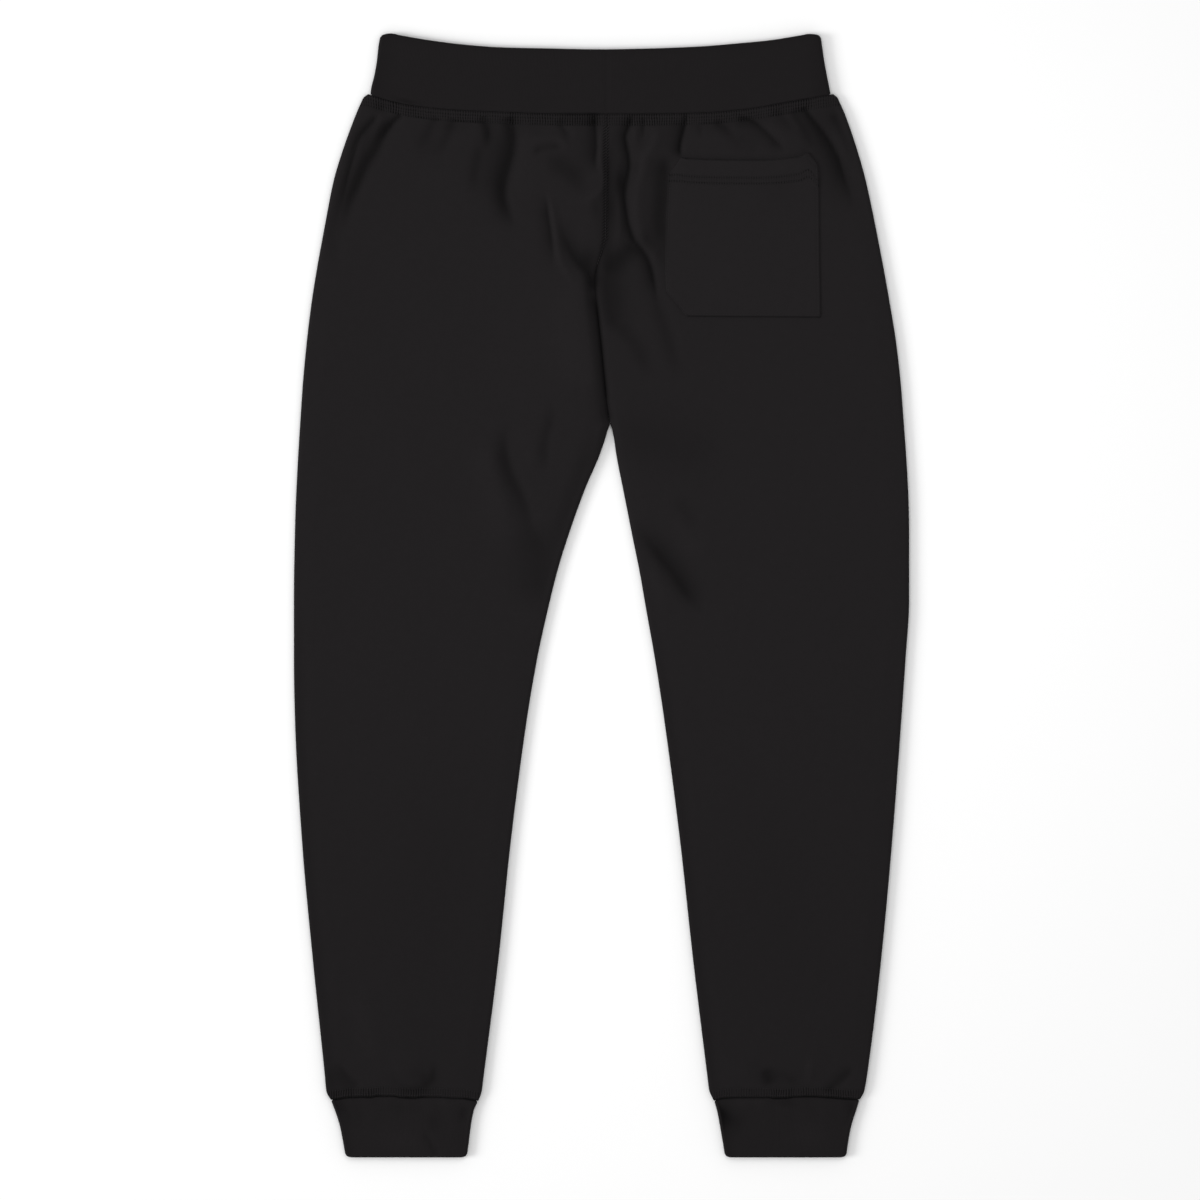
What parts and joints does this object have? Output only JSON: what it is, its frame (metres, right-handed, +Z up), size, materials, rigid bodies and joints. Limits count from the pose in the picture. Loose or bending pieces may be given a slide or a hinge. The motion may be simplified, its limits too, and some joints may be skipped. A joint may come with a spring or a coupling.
{
  "type": "jogger sweatpants",
  "caption": "Long jogger sweatpants in black fleece, laid flat back side up, with ribbed waistband, tapered legs, ribbed cuffs and a patch pocket.",
  "frame": {"origin": "middle of the garment's footprint, on the surface it lies on", "axes": "+Y from the cuffs to the waistband, +X to the wearer's right, +Z up out of the back of the garment"},
  "size_m": [0.5696, 1.04, 0.0114],
  "materials": {
    "fleece_black": "matte smooth-faced sweatshirt fleece, black with a faint warm cast",
    "rib_black": "fine one by one rib knit, black, slightly smoother than the fleece"
  },
  "bodies": {
    "root": {"waistband": "rib_black", "back_left": "fleece_black", "back_right": "fleece_black", "front_left": "fleece_black", "front_right": "fleece_black", "back_pocket": "fleece_black", "cuff_left": "rib_black", "cuff_right": "rib_black"}
  },
  "joints": []
}
